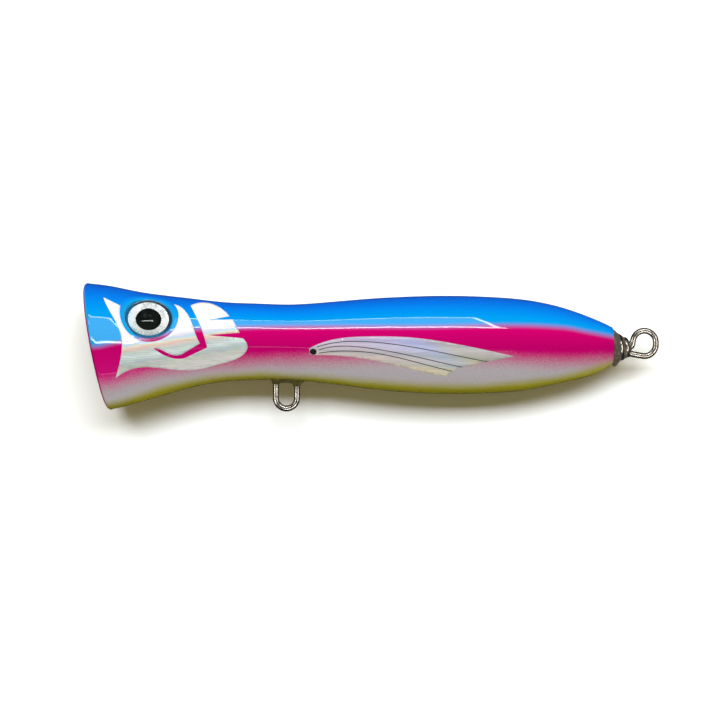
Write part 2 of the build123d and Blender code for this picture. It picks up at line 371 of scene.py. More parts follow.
# Colour changes of the airbrushed paint: place along X, height.
BLUE_EDGE = [
    (-8, 0.0), (-1.4, 0.4), (1.6, 1.1), (12, 3.2), (24, 5.3), (39, 6.0), (90, 6.2), (135, 6.0),
    (142, 4.8), (152, 3.0),
]
PINK_FADE = [
    (-8, -11.2), (0, -10.9), (8, -9.1), (16, -7.2), (26, -5.8), (45, -4.2), (62, -3.7), (90, -3.3),
    (118, -3.7), (136, -4.3), (152, -3.7),
]
OLIVE_EDGE = [
    (-8, -17.5), (2, -16.0), (12, -12.8), (20, -10.5), (32, -8.3), (46, -7.4), (58, -8.1),
    (72, -9.2), (96, -10.8), (112, -10.7), (126, -9.4), (136, -8.1), (148, -4.6), (153, -3.5),
]
# How far the coat's normal leans to the back on the head: at the wire's height, less for each
# millimetre higher, at most, and where along X the lean starts and ends its fade.
COAT_LEAN = 0.34
LEAN_PER_MM = 0.027
MOST_LEAN = 0.3
LEAN_FADE = (6.0, 26.0)
SEAT_REACH = (6.85, 7.15)       # the dark seat's edge, from the middle of the eye
SEAT_HIGHLIGHT_REACH = (7.6, 9.6)         # the painted highlight, a brighter blue round the seat


def coat_normal(s, x, z, normal):
    """The gloss's normal, leaned to the back on the head, the more the lower. The shape has no lean."""
    lean = s.math("SUBTRACT", COAT_LEAN, s.math("MULTIPLY", z, LEAN_PER_MM))
    lean = s.math("MINIMUM", s.math("MAXIMUM", lean, 0.0), MOST_LEAN)
    lean = s.math("MULTIPLY", lean, s.fade(x, *LEAN_FADE))
    up = s.add("CombineXYZ", X=0.0, Y=0.0, Z=lean).outputs[0]
    return s.vector("NORMALIZE", s.vector("ADD", normal, up))


def paint_material():
    """Blue over pink over pearl over olive, under a thick clear coat."""
    s = Shader("airbrushed_paint")
    spot, x, y, z = s.place()
    up = s.add("SeparateXYZ", Vector=s.add("NewGeometry").outputs["Normal"]).outputs[2]
    height = s.math("ADD", z, s.drift(s.noise(spot, 0.12), 0.9))

    grain = s.noise(spot, 2.6, 3.0, 0.7)
    fine = s.noise(spot, 2.3, 2.0, 0.65)
    blue = s.ramp(up, [
        (0.3, "01a6ee"), (0.55, "019ded"), (0.7, "008aea"), (0.84, "0074e0"), (0.94, "0062d2"),
        (1.0, "0052bc"),
    ])
    # The pink is lighter low on the flank: painted light that makes up for the dimmer light there.
    pink = s.ramp(height, [
        (-10, "da1880"), (-5, "d00a74"), (0, "c6016a"), (4, "d2016e"), (7, "de0274"),
    ], -10, 7)
    glitter = s.drift(fine, 0.8)
    pearl = s.blend(s.math("ADD", 0.5, glitter, True), srgb("a8a2a4"), srgb("d2cbce"))
    # The olive darkens where the surface faces down: painted shade under the belly.
    olive = s.ramp(up, [
        (-1.0, "6c6508"), (-0.93, "8a8216"), (-0.84, "a39c30"), (-0.6, "aca446"), (0.0, "aca65a"),
    ], -1, 0)

    to_pink = s.math("SUBTRACT", s.curve(x, BLUE_EDGE), z)
    colour = s.blend(s.smooth(to_pink, -1.3, 1.3), blue, pink)
    to_pearl = s.math("SUBTRACT", s.curve(x, PINK_FADE), height)
    sprayed = s.math("ADD", s.math("DIVIDE", to_pearl, 6.8), s.drift(fine, 0.45))
    colour = s.blend(s.smooth(sprayed, -0.5, 0.55), colour, pearl)
    pepper = s.math("MULTIPLY", s.smooth(grain, 0.66, 0.72), s.smooth(sprayed, 0.0, 0.5))
    colour = s.blend(s.math("MULTIPLY", pepper, 0.35), colour, srgb("5c4a50"))
    to_olive = s.math("SUBTRACT", s.curve(x, OLIVE_EDGE), height)
    sprayed = s.math("ADD", s.math("DIVIDE", to_olive, 3.2), s.drift(grain, 0.4))
    colour = s.blend(s.smooth(sprayed, -0.5, 0.5), colour, olive)

    # The front of the lip is sprayed a deeper pink.
    lip = s.vector("DOT_PRODUCT", s.vector("SUBTRACT", spot, tuple(RIM_CENTRE)), tuple(FORWARD))
    inside = s.smooth(lip, -0.75, -0.3)
    colour = s.blend(inside, colour, srgb("9a0a55"))

    # Round the eye: a painted highlight of brighter blue on the upper edge of the seat, and a dark seat that
    # is painted slate-blue on one side as a reflection.
    from_eye = s.from_eye(x, y, z)
    deep = s.vector("DOT_PRODUCT", from_eye, tuple(EYE_OUT))
    whole = s.vector("DOT_PRODUCT", from_eye, from_eye)
    reach = s.math("SQRT", s.math("SUBTRACT", whole, s.math("POWER", deep, 2.0)))
    above = s.smooth(z, 1.0, 5.5)
    seat_highlight = s.math("MULTIPLY", s.fade(reach, *SEAT_HIGHLIGHT_REACH), above)
    colour = s.blend(s.math("MULTIPLY", seat_highlight, 0.35), colour, srgb("16aef2"))
    seat = s.fade(reach, *SEAT_REACH)
    # The seat is near black on one side and slate-blue on the other: the slate-blue is a painted reflection.
    side = s.vector("DOT_PRODUCT", from_eye, tuple(EYE_UP * 0.75 + EYE_ACROSS * 0.65))
    seat_mottle = s.noise(spot, 3.2, 3.0, 0.8)
    seat_reflection = s.ramp(seat_mottle, [(0.35, "10506e"), (0.55, "2a7298"), (0.75, "6aa2b6")], 0.3, 0.8)
    speck = s.ramp(seat_mottle, [(0.35, "0c1416"), (0.55, "24404c"), (0.75, "5c8496")], 0.3, 0.8)
    colour = s.blend(seat, colour, s.blend(s.smooth(side, -2.5, 2.5), seat_reflection, speck))

    return s.finish(
        Base_Color=colour, Roughness=0.42, IOR=1.45, Specular_IOR_Level=0.0,
        Coat_Weight=1.0, Coat_Roughness=0.025, Coat_IOR=1.5,
        Coat_Normal=coat_normal(s, x, z, s.bump(s.noise(spot, 0.16, 1.0), 0.00006, 0.6)),
    )


VARNISH = {"Coat_Weight": 1.0, "Coat_Roughness": 0.03}


def mottled(name, scale, first, second, **finish):
    """Two colours that a noise mixes."""
    s = Shader(name)
    colour = s.blend(s.noise(s.place()[0], scale), srgb(first), srgb(second))
    return s.finish(Base_Color=colour, **finish)


def cup_material():
    """The deeper pink of the cup."""
    return mottled("cup_paint", 0.3, "94084f", "b00f62", Roughness=0.45, **VARNISH)


def foil_finish(s, colour, x, z):
    """Film under the same thick coat as the paint."""
    return s.finish(
        Base_Color=colour, Roughness=0.3, Specular_IOR_Level=0.2,
        Coat_Weight=1.0, Coat_Roughness=0.025, Coat_IOR=1.5,
        Coat_Normal=coat_normal(s, x, z, s.add("NewGeometry").outputs["Normal"]),
    )


def cheek_foil_material():
    """Brushed holographic film with a slanted rainbow band; its white top and grey-green silver lower part
    are a painted reflection, bright above and darker below.
    """
    s = Shader("cheek_foil_film")
    spot, x, y, z = s.place()
    streak = s.noise(s.stretch(spot, (0.10, 0.4, 2.4)), 1.0, 3.0, 0.65)
    tone = s.math("SUBTRACT", z, s.math("MULTIPLY", x, 0.16))
    tone = s.math("ADD", tone, s.drift(streak, 1.5))
    film = s.ramp(tone, [
        (-11, "eeeae6"), (-8.6, "ece8e2"), (-7.0, "d9dad0"), (-5.6, "c2d2d0"), (-4.2, "e6f2ee"),
        (-3.1, "d6e2dc"), (-2.3, "e4ded6"), (-1.6, "f6cfc0"), (-1.0, "f6eed2"), (-0.4, "c4e6fa"),
        (0.3, "e6e4f2"), (1.0, "fbfbfb"),
    ], -11, 1.2)
    silk = s.noise(s.stretch(spot, (0.22, 0.5, 7.0)), 1.0, 2.0, 0.6)
    shade = s.blend(s.smooth(silk, 0.36, 0.62), srgb("c2cac6"), srgb("ffffff"))
    # The lower part is darkened with the streaks: painted reflection of a darker room below.
    low = s.fade(tone, -2.5, 0.5)
    film = s.blend(s.math("MULTIPLY", low, 0.5), film, shade, "MULTIPLY")
    prism = s.cells(s.stretch(spot, (0.5, 0.5, 2.2)), 1.0)
    film = s.blend(0.14, film, prism, "SOFT_LIGHT")
    return foil_finish(s, film, x, z)


def fin_foil_material():
    """The same film on the fin: lavender on its upper rays, yellowish on the lowest."""
    s = Shader("fin_foil_film")
    spot, x, y, z = s.place()
    tone = s.math("ADD", z, s.math("MULTIPLY", s.math("SUBTRACT", x, 60.0), 0.055))
    streak = s.noise(s.stretch(spot, (0.12, 0.3, 3.0)), 1.0, 3.0, 0.7)
    tone = s.math("ADD", tone, s.drift(streak, 2.0))
    film = s.ramp(tone, [
        (-7, "f6f2c4"), (-4.5, "f4f0c8"), (-3.2, "dfe4d4"), (-1.8, "eeeae2"), (-0.4, "ccd6d4"),
        (0.8, "e0e0ee"), (2.0, "e4e8fa"), (3.2, "ccccea"), (4.6, "e6d8e6"),
    ], -7, 5)
    hue = s.ramp(s.math("ADD", x, s.math("MULTIPLY", tone, 2.0)), [
        (60, "f2dfe2"), (76, "f0dcdc"), (88, "ece2f0"), (98, "d6e0fc"), (106, "e4deba"),
        (114, "e2d4c0"),
    ], 58, 116)
    film = s.blend(0.75, film, hue, "MULTIPLY")
    silk = s.noise(s.stretch(spot, (0.16, 0.5, 6.0)), 1.0, 2.0, 0.6)
    shade = s.blend(s.smooth(silk, 0.36, 0.62), srgb("cacaca"), srgb("ffffff"))
    film = s.blend(0.4, film, shade, "MULTIPLY")
    return foil_finish(s, film, x, z)


def line_material():
    """The cut between two rays, dark with painted shade from the foil's edges."""
    return mottled("fin_cut_line", 1.5, "3a3236", "6a5a60", Roughness=0.4, **VARNISH)


def dot_material():
    return mottled("black_ink", 3.0, "0c0a0c", "2a2428", Roughness=0.35, **VARNISH)


PUPIL_DROP = 0.7                # the pupil sits this far below the middle of the film
PUPIL_PRINT = 3.45              # the film is dark to here under the pupil, whose face touches it
IRIS_GLOW = 0.45                # some light of its own, so that the film looks white


def iris_material():
    """Silver prism film: white at the top and greyer below as painted shade, and dark under the pupil."""
    s = Shader("prism_film")
    spot, x, y, z = s.place()
    from_eye = s.from_eye(x, y, z)
    rise = s.vector("DOT_PRODUCT", from_eye, tuple(EYE_UP))
    across = s.vector("DOT_PRODUCT", from_eye, tuple(EYE_ACROSS))
    # Lighter at the top and greyer below: painted shade.
    uneven = s.math("ADD", rise, s.drift(s.noise(spot, 0.8), 3.0))
    base = s.ramp(uneven, [
        (-6, "bcc4c1"), (-4, "dee2dd"), (-1, "fbfbf9"), (1, "ffffff"), (4, "ffffff"), (6, "ffffff"),
    ], -6, 6)
    specks = s.cells(s.stretch(spot, (1.6, 1.6, 3.0)), 1.0)
    base = s.blend(0.12, base, specks, "OVERLAY")
    streak = s.noise(s.stretch(spot, (1.4, 1.4, 5.0)), 1.0, 3.0, 0.8)
    streaks = s.ramp(streak, [(0.3, "8a8e90"), (0.5, "f2f2f0"), (0.75, "ffffff")], 0.2, 0.8)
    base = s.blend(0.16, base, streaks, "MULTIPLY")
    left = s.fade(across, -5.0, -2.0)
    base = s.blend(s.math("MULTIPLY", left, 0.3), base, srgb("9fc4c8"))
    below = s.math("ADD", rise, PUPIL_DROP)
    squares = s.math("ADD", s.math("MULTIPLY", across, across), s.math("MULTIPLY", below, below))
    printed = s.math("LESS_THAN", s.math("SQRT", squares), PUPIL_PRINT)
    base = s.blend(printed, base, srgb("1a1f1c"))
    return s.finish(Base_Color=base, Roughness=0.4, Emission_Color=base, Emission_Strength=IRIS_GLOW)


def pupil_material():
    return mottled("pupil_ink", 1.2, "181d1a", "202623", Roughness=0.5, Specular_IOR_Level=0.0)


def resin_material():
    """Clear cast resin that lets light through to the film."""
    s = Shader("clear_resin")
    tint = (0.97, 0.99, 0.98, 1)
    glass = s.add("BsdfPrincipled", Base_Color=tint, Transmission_Weight=1.0, Roughness=0.0, IOR=1.5)
    clear = s.add("BsdfTransparent")
    shadow = s.add("LightPath").outputs["Is Shadow Ray"]
    return s.show(s.choose(shadow, glass.outputs[0], clear.outputs[0]))


def wire_material():
    """Drawn stainless wire, a little stained, with lengthwise scratches."""
    s = Shader("drawn_wire")
    spot = s.place()[0]
    stain = s.noise(spot, 0.7, 4.0, 0.65)
    colour = s.ramp(stain, [(0.3, "6a645c"), (0.5, "a49e96"), (0.72, "d6d2cb")], 0.25, 0.75)
    scratch = s.noise(spot, 9.0, 3.0, 0.7)
    rough = s.remap(scratch, 0.18, 0.30)
    return s.finish(Base_Color=colour, Metallic=1.0, Roughness=rough, Normal=s.bump(scratch, 0.00001, 0.1))


def dark_epoxy_material():
    """Thickened epoxy that has run round the tail wraps."""
    s = Shader("dark_epoxy")
    spot = s.place()[0]
    cloud = s.noise(spot, 0.9, 3.0, 0.7)
    colour = s.ramp(cloud, [(0.3, "443d33"), (0.55, "6a6152"), (0.8, "9a8d78")], 0.2, 0.85)
    return s.finish(Base_Color=colour, Roughness=0.3, Coat_Weight=0.8, Coat_Roughness=0.06,
                    Normal=s.bump(s.noise(spot, 1.1, 2.0), 0.0003, 0.5))


def plain_epoxy_material():
    s = Shader("bedding_epoxy")
    spot = s.place()[0]
    colour = s.ramp(s.noise(spot, 0.5, 3.0), [(0.3, "6f6242"), (0.7, "a4946a")], 0.2, 0.8)
    return s.finish(Base_Color=colour, Roughness=0.35, Coat_Weight=0.4, Coat_Roughness=0.1)


def collar_material():
    """Olive paint over the epoxy at the hanger's root, as dark as the shaded belly: painted shade under the
    belly.
    """
    s = Shader("olive_epoxy")
    spot = s.place()[0]
    colour = s.ramp(s.noise(spot, 0.8, 2.0), [(0.3, "4c460c"), (0.7, "6c651c")], 0.2, 0.8)
    return s.finish(Base_Color=colour, Roughness=0.4, Coat_Weight=1.0, Coat_Roughness=0.04)


def wood_material():
    """Sealed softwood, its grain along the lure."""
    s = Shader("carved_wood")
    spot = s.place()[0]
    rings = s.noise(s.stretch(spot, (0.012, 0.35, 0.35)), 1.0, 4.0, 0.6)
    bands = s.math("FRACT", s.math("MULTIPLY", rings, 9.0))
    pores = s.noise(s.stretch(spot, (0.15, 3.0, 3.0)), 1.0, 3.0, 0.7)
    colour = s.blend(s.smooth(bands, 0.2, 0.9), srgb("d3ae78"), srgb("a97a45"))
    colour = s.blend(s.math("MULTIPLY", pores, 0.35), colour, srgb("7c5630"))
    return s.finish(Base_Color=colour, Roughness=0.6, Normal=s.bump(pores, 0.0001, 0.3))


def lead_material():
    s = Shader("cast_lead")
    spot = s.place()[0]
    bloom = s.noise(spot, 0.6, 5.0, 0.7)
    colour = s.ramp(bloom, [(0.3, "4b4e54"), (0.6, "6c7077"), (0.8, "8e9095")], 0.2, 0.85)
    return s.finish(Base_Color=colour, Metallic=0.7, Roughness=s.remap(bloom, 0.4, 0.7),
                    Normal=s.bump(bloom, 0.0002, 0.4))


PAINT = paint_material()
CUP_PAINT = cup_material()

# ---- the painted body ----
COLUMNS = 168
BODY_ROWS = 176
LIP_ROWS = 10
BOWL_ROWS = 16
LIP_HEIGHT = 0.95
LIP_WIDTH = 2.0
BOWL_RISE = 0.26                # the bowl sits this far above the middle of the rim
TAIL_ROUND = 0.4
TAIL_HOLE = 2.4                 # the ring at the tail that the last face closes
RIM_SWELL = 0.3                 # the body's surface stands out this much more at the lip
SWELL_LENGTH = 3.0


def rim_place(turn, back):
    """Where along X each line of the body meets the plane a little behind the rim."""
    x = np.full_like(turn, RIM_CENTRE[0])
    for _ in range(12):
        centre, radius = section(x)
        height = centre + radius * np.cos(turn)
        x = RIM_CENTRE[0] - (height - RIM_CENTRE[2]) * math.tan(RIM_LEAN) + back / math.cos(RIM_LEAN)
    return x


def rim_flare(x, start):
    """The body swells a little where it meets the lip."""
    return RIM_SWELL * np.exp((start - x) / SWELL_LENGTH)


def body_grid():
    """Rings of points: bowl, lip, body and tail end."""
    turn = np.linspace(0, 2 * math.pi, COLUMNS, endpoint=False)
    start = rim_place(turn, LIP_HEIGHT)
    edge = on_body(start, turn, RIM_SWELL)
    from_centre = edge - RIM_CENTRE
    level = from_centre @ FORWARD
    flat = from_centre - level[:, None] * FORWARD
    outer = np.linalg.norm(flat, axis=1)
    spoke = flat / outer[:, None]
    mouth = outer.mean() - RIM_SWELL - LIP_WIDTH
    depth = (CUP_FLOOR - RIM_CENTRE[0]) / math.cos(RIM_LEAN)
    ball = (mouth**2 + depth**2) / (2 * depth)

    def ring(radius, height):
        radius = np.broadcast_to(radius, outer.shape)
        height = np.broadcast_to(height, outer.shape)
        return RIM_CENTRE + spoke * radius[:, None] + FORWARD * height[:, None]

    rows = []
    steepest = math.asin(mouth / ball)
    for share in np.linspace(0.03, 1, BOWL_ROWS, endpoint=False):
        swing = steepest * share
        sunk = math.sqrt(max(ball**2 - (ball * math.sin(swing))**2, 0)) - (ball - depth)
        bowl = ring(ball * math.sin(swing), -sunk - LIP_HEIGHT * share**3)
        rows.append(bowl + np.array([0, 0, BOWL_RISE * (1 - share**3)]))
    for angle in np.linspace(math.pi, 0, LIP_ROWS, endpoint=False):
        half = (outer - mouth) / 2
        rows.append(ring(mouth + half + half * math.cos(angle), level + LIP_HEIGHT * math.sin(angle)))
    end = TAIL_END - TAIL_ROUND
    for share in np.linspace(0, 1, BODY_ROWS):
        x = start + (end - start) * share
        rows.append(on_body(x, turn, rim_flare(x, start)))
    centre, radius = (float(v) for v in section(end))
    for angle in np.radians([30, 60, 90]):
        x = end + (TAIL_ROUND + 0.05) * math.sin(angle)
        reach = radius - TAIL_ROUND * (1 - math.cos(angle))
        rows.append(np.stack([x + 0 * turn, -reach * np.sin(turn), centre + reach * np.cos(turn)], axis=-1))
    across, up = -TAIL_HOLE * np.sin(turn), centre + TAIL_HOLE * np.cos(turn)
    rows.append(np.stack([x + 0 * turn, across, up], axis=-1))
    return np.array(rows)


# ---- the eye seats in the body ----
SEAT_R = 7.15
SEAT_EDGE = 7.85                # where the rounded edge of the seat starts
SEAT_GAP = 9.0                  # faces nearer the eye than this are remade
SEAT_STEPS = 112


def eye_plane(points, side):
    """Each point seen square to the eye: across, up and out from its seat."""
    flipped = points * np.array([1, -side, 1])
    offset = flipped - EYE_SEAT
    return np.stack([offset @ EYE_ACROSS, offset @ EYE_UP, offset @ EYE_OUT], axis=-1)


def from_eye_plane(across, up, out, side):
    point = EYE_SEAT + np.outer(across, EYE_ACROSS) + np.outer(up, EYE_UP) + np.outer(out, EYE_OUT)
    return point * np.array([1, -side, 1])


def body_height(across, up):
    """How far the body's surface stands out from the eye seat's plane."""
    out = np.full_like(across, 1.7)

    def miss(height):
        point = from_eye_plane(across, up, height, -1)
        centre, radius = section(point[:, 0])
        return np.hypot(point[:, 1], point[:, 2] - centre) - radius

    for _ in range(8):
        here = miss(out)
        slope = (miss(out + 0.01) - here) / 0.01
        out = out - here / slope
    return out


def seat_rings():
    """Rings from the edge of the seat, round it and down its wall to the floor."""
    swing = np.linspace(0, 2 * math.pi, SEAT_STEPS, endpoint=False)
    rings = []
    wall = body_height(SEAT_R * np.cos(swing), SEAT_R * np.sin(swing))
    drop = np.clip(wall * 0.7, 0.04, 0.6)
    for angle in np.radians(np.linspace(0, 90, 8)):
        reach = SEAT_R + (SEAT_EDGE - SEAT_R) * (1 - math.sin(angle))
        across, up = reach * np.cos(swing), reach * np.sin(swing)
        rings.append((across, up, body_height(across, up) - drop * (1 - math.cos(angle))))
    low = rings[-1][2]
    for share in (0.5, 1.0):
        rings.append((across, up, low * (1 - share) + 0.06 * share))
    for reach in (SEAT_R - 0.1, 6.4, 3.0):
        rings.append((reach * np.cos(swing), reach * np.sin(swing), np.full_like(swing, 0.04)))
    return rings


def hole_loop(faces, gone):
    """The vertices round the removed faces, in order."""
    kept_edges = set()
    for face in faces:
        kept_edges.update(zip(face, face[1:] + face[:1]))
    following = {}
    for face in gone:
        for a, b in zip(face, face[1:] + face[:1]):
            if (b, a) in kept_edges:
                following[a] = b
    first = next(iter(following))
    loop = [first]
    while following[loop[-1]] != first:
        loop.append(following[loop[-1]])
    return loop


def cut_seat(points, faces, side):
    """Replaces the faces round one eye with its seat."""
    flat = eye_plane(points, side)
    near = (np.hypot(flat[:, 0], flat[:, 1]) < SEAT_GAP) & (flat[:, 2] > -4)
    near[:(BOWL_ROWS + LIP_ROWS) * COLUMNS] = False
    gone = [f for f in faces if any(near[i] for i in f)]
    kept = [f for f in faces if not any(near[i] for i in f)]
    loop = hole_loop(kept, gone)
    rings = seat_rings()
    first = len(points)
    added = [from_eye_plane(*ring, side) for ring in rings]
    points = np.vstack([points, *added])
    ring_ids = list(range(first, first + SEAT_STEPS))
    ids = loop + ring_ids
    spots = eye_plane(points[ids], side)[:, :2]
    count = len(loop)
    edges = [(i, (i + 1) % count) for i in range(count)]
    edges += [(count + i, count + (i + 1) % SEAT_STEPS) for i in range(SEAT_STEPS)]
    _, _, triangles, origins, _, _ = delaunay_2d_cdt([Vector(p) for p in spots], edges, [], 1, 1e-5)
    join = []
    for triangle in triangles:
        own = [origins[i][0] for i in triangle]
        middle = spots[own].mean(axis=0)
        if np.hypot(*middle) > SEAT_EDGE * math.cos(math.pi / SEAT_STEPS) - 1e-3:
            a, b, c = spots[own]
            turned = (b[0] - a[0]) * (c[1] - a[1]) - (b[1] - a[1]) * (c[0] - a[0])
            corners = [ids[i] for i in own]
            join.append(tuple(corners if (turned > 0) == (side < 0) else corners[::-1]))
    down = strip_faces(len(rings), SEAT_STEPS, first)
    floor = tuple(range(first + (len(rings) - 1) * SEAT_STEPS, first + len(rings) * SEAT_STEPS))
    return points, kept + join + down + [floor]


def painted_body():
    rows = body_grid()
    points = rows.reshape(-1, 3)
    faces = strip_faces(len(rows), COLUMNS)
    for side in SIDES.values():
        points, faces = cut_seat(points, faces, side)
    cup_middle = tuple(range(COLUMNS))
    tail_middle = tuple(range((len(rows) - 1) * COLUMNS, len(rows) * COLUMNS))
    body = new_object("painted_body", points, faces + [cup_middle, tail_middle], PAINT, CUP_PAINT)
    cup_end = (BOWL_ROWS + LIP_ROWS // 2) * COLUMNS
    for polygon in body.data.polygons:
        polygon.material_index = int(max(polygon.vertices) < cup_end)
    work = bmesh.new()
    work.from_mesh(body.data)
    drop_loose(work)
    bmesh.ops.recalc_face_normals(work, faces=work.faces)
    work.to_mesh(body.data)
    work.free()
    shade_smooth(body.data)
    return settle(body, "paint_and_coat", "clear_coat")


# ---- foils ----
GIRTH = 13.0                    # a turn of one radian, laid flat
FOIL_LIFT = 0.035
FOIL_THICK = 0.05
FOIL_GRID = 0.8
SLIT_SIZE = 0.4                 # the foil stops less than this above and below the middle of a cut


def outer_edges(node):
    """The points of a foil's outer face, and the pairs of them joined by its free edges."""
    work = bmesh.new()
    work.from_mesh(frame["nodes"][node].data)
    bmesh.ops.remove_doubles(work, verts=work.verts, dist=0.004 * MM)
    work.verts.index_update()
    spots = np.array([v.co for v in work.verts]) / MM
    uses = {}
    for face in work.faces:
        middle = np.array(face.calc_center_median()) / MM
        centre = float(section(middle[0])[0])
        away = np.array([0, middle[1], middle[2] - centre])
        if np.dot(away / np.linalg.norm(away), face.normal) > 0.5:
            for edge in face.edges:
                pair = tuple(sorted(v.index for v in edge.verts))
                uses[pair] = uses.get(pair, 0) + 1
    work.free()
    free = [pair for pair, count in uses.items() if count == 1]
    used = sorted({i for pair in free for i in pair})
    place = {old: new for new, old in enumerate(used)}
    return spots[used], [(place[a], place[b]) for a, b in free]


def laid_flat(points):
    """Points of the left flank as place along X and distance round the body."""
    centre, _ = section(points[:, 0])
    return np.stack([points[:, 0], GIRTH * np.arctan2(-points[:, 1], points[:, 2] - centre)], axis=-1)


def crossings(spot, starts, ends):
    """Heights at which the line through a spot, at one place along X, meets the edges."""
    meets = (starts[:, 0] > spot[0]) != (ends[:, 0] > spot[0])
    a, b = starts[meets], ends[meets]
    return a[:, 1] + (b[:, 1] - a[:, 1]) * (spot[0] - a[:, 0]) / (b[:, 0] - a[:, 0])


def foil_sheet(node):
    """Flat points and triangles of a foil, and the triangles that lie in its narrow cuts."""
    spots, edges = outer_edges(node)
    corners = laid_flat(spots)
    starts, ends = corners[[a for a, b in edges]], corners[[b for a, b in edges]]
    low, high = corners.min(axis=0), corners.max(axis=0)
    grid = []
    for x in np.arange(low[0], high[0], FOIL_GRID):
        for turn in np.arange(low[1], high[1], FOIL_GRID):
            spot = np.array([x, turn])
            above = crossings(spot, starts, ends) > turn
            if above.sum() % 2 and np.min(np.hypot(*(corners - spot).T)) > 0.35:
                grid.append(spot)
    given = np.vstack([corners, grid])
    flat, _, triangles, _, _, _ = delaunay_2d_cdt([Vector(p) for p in given], edges, [], 0, 1e-6)
    flat = np.array([tuple(p) for p in flat])
    sheet, cuts = [], []
    for triangle in triangles:
        middle = flat[list(triangle)].mean(axis=0)
        offsets = crossings(middle, starts, ends) - middle[1]
        above, below = offsets[offsets > 0], -offsets[offsets <= 0]
        if len(above) % 2:
            sheet.append(tuple(triangle))
        elif len(above) and len(below) and above.min() < SLIT_SIZE and below.min() < SLIT_SIZE:
            cuts.append(tuple(triangle))
    return flat, sheet, cuts


def lay_foil(name, node, film, slot, cut_line=None):
    """A foil of each flank, just proud of the body so that both show the same gloss."""
    flat, sheet, cuts = foil_sheet(f"{node}_left")
    turn = flat[:, 1] / GIRTH
    swell = rim_flare(flat[:, 0], rim_place(turn, LIP_HEIGHT))
    left = on_body(flat[:, 0], turn, FOIL_LIFT + swell)
    faces = sheet + (cuts if cut_line else [])
    for side, sign in SIDES.items():
        points = left * np.array([1, -sign, 1])
        turned = faces if sign > 0 else [f[::-1] for f in faces]
        materials = [film, cut_line] if cut_line else [film]
        piece = new_object(f"{name}_{side}", points, turned, *materials)
        for i in range(len(sheet), len(piece.data.polygons)):
            piece.data.polygons[i].material_index = 1
        work = bmesh.new()
        work.from_mesh(piece.data)
        drop_loose(work)
        work.to_mesh(piece.data)
        work.free()
        solid = piece.modifiers.new("thickness", "SOLIDIFY")
        solid.thickness = FOIL_THICK * MM
        solid.offset = -1
        settle(piece, slot, f"{node}_{side}")


def root_dots():
    """The black dot at each fin's root, a low dome on the foil."""
    points = node_points("fin_dot_left")
    middle = laid_flat(points).mean(axis=0)
    radius = (points[:, 0].max() - points[:, 0].min()) / 2
    rings = [(0.35, 0.10), (0.7, 0.095), (0.92, 0.08), (1.0, 0.0)]
    steps = 40
    swing = np.linspace(0, 2 * math.pi, steps, endpoint=False)
    rows = []
    for share, lift in rings:
        x = middle[0] + radius * share * np.cos(swing)
        turn = (middle[1] + radius * share * np.sin(swing)) / GIRTH
        rows.append(on_body(x, turn, lift))
    cap = tuple(range(steps))
    ink = dot_material()
    for side, sign in SIDES.items():
        points = np.vstack(rows) * np.array([1, -sign, 1])
        faces = strip_faces(len(rows), steps) + [cap[::-1]]
        piece = new_object(f"root_dot_{side}", points, faces if sign < 0 else [f[::-1] for f in faces], ink)
        settle(piece, "black_dot", f"fin_dot_{side}")


# ---- epoxy ----
def lathe(name, rings, material, steps=64, lumps=0.0):
    """A closed turned shape along X from (place, radius, centre height) rings, a little lumpy."""
    swing = np.linspace(0, 2 * math.pi, steps, endpoint=False)
    rows = []
    for x, radius, centre in rings:
        wave = 1 + lumps * (np.sin(3 * swing + x) + 0.6 * np.sin(5 * swing - 2 * x))
        y = -radius * wave * np.sin(swing)
        z = centre + radius * wave * np.cos(swing)
        rows.append(np.stack([x + 0 * swing, y, z], axis=-1))
    faces = strip_faces(len(rows), steps)
    faces.append(tuple(range(steps)))
    faces.append(tuple(range((len(rows) - 1) * steps, len(rows) * steps))[::-1])
    return new_object(name, np.vstack(rows), faces, material)


def rounded(piece):
    smooth = piece.modifiers.new("round", "SUBSURF")
    smooth.levels = smooth.render_levels = 1
    return piece


def tail_epoxy():
    """Dark epoxy that runs from the body's end on to the wire wraps."""
    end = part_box("tail_plug")[1].x / MM
    start = TAIL_END
    band = lathe("tail_epoxy", [
        (start - 3.0, 2.3, 0.3), (start - 0.1, 2.4, 0.4), (start - 0.05, 5.2, 0.3),
        (start + 0.05, 5.62, 0.2), (start + 0.5, 5.5, -0.1), (start + 1.2, 5.15, -0.38),
        (start + 1.7, 4.5, -0.12), (end + 0.5, 3.95, 0.05), (end + 1.4, 3.42, 0.0),
        (end + 2.6, 2.8, -0.1), (end + 3.5, 2.25, -0.2), (end + 3.9, 1.2, -0.1),
    ], dark_epoxy_material(), lumps=0.012)
    return settle(rounded(band), "bedding_epoxy", "tail_plug")


def cup_epoxy():
    """Epoxy in the cup's floor, drawn up round the wraps."""
    low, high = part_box("nose_plug")
    front, back, radius = low.x / MM, high.x / MM, high.z / MM
    plug = lathe("cup_epoxy", [
        (front - 0.9, 1.6, 0.0), (front - 0.75, 2.4, 0.0), (front - 0.45, 2.9, 0.0),
        (front - 0.1, 3.6, 0.1), (front + 0.1, 4.6, 0.3), (front + 0.25, 5.3, 0.4),
        (front + 0.6, 5.4, 0.4), (front + 1.0, radius, 0.0), (back, radius, 0.0),
    ], CUP_PAINT, lumps=0.02)
    return settle(rounded(plug), "bedding_epoxy", "nose_plug")


WIRE_R = 0.9
LEG_INSET = 1.0                 # from each end of the hanger to the middle of its collar
COLLAR_TOP = 1.2                # the collar starts this far inside the belly
COLLAR_STEPS = 40
# For the front leg and the rear one: spread at the belly, and how far it runs to the tail there.
COLLAR_FLARES = ((0.5, 0.0), (1.7, 1.5))
SADDLE_DROP = 0.95
SADDLE_WIDTH = 2.0


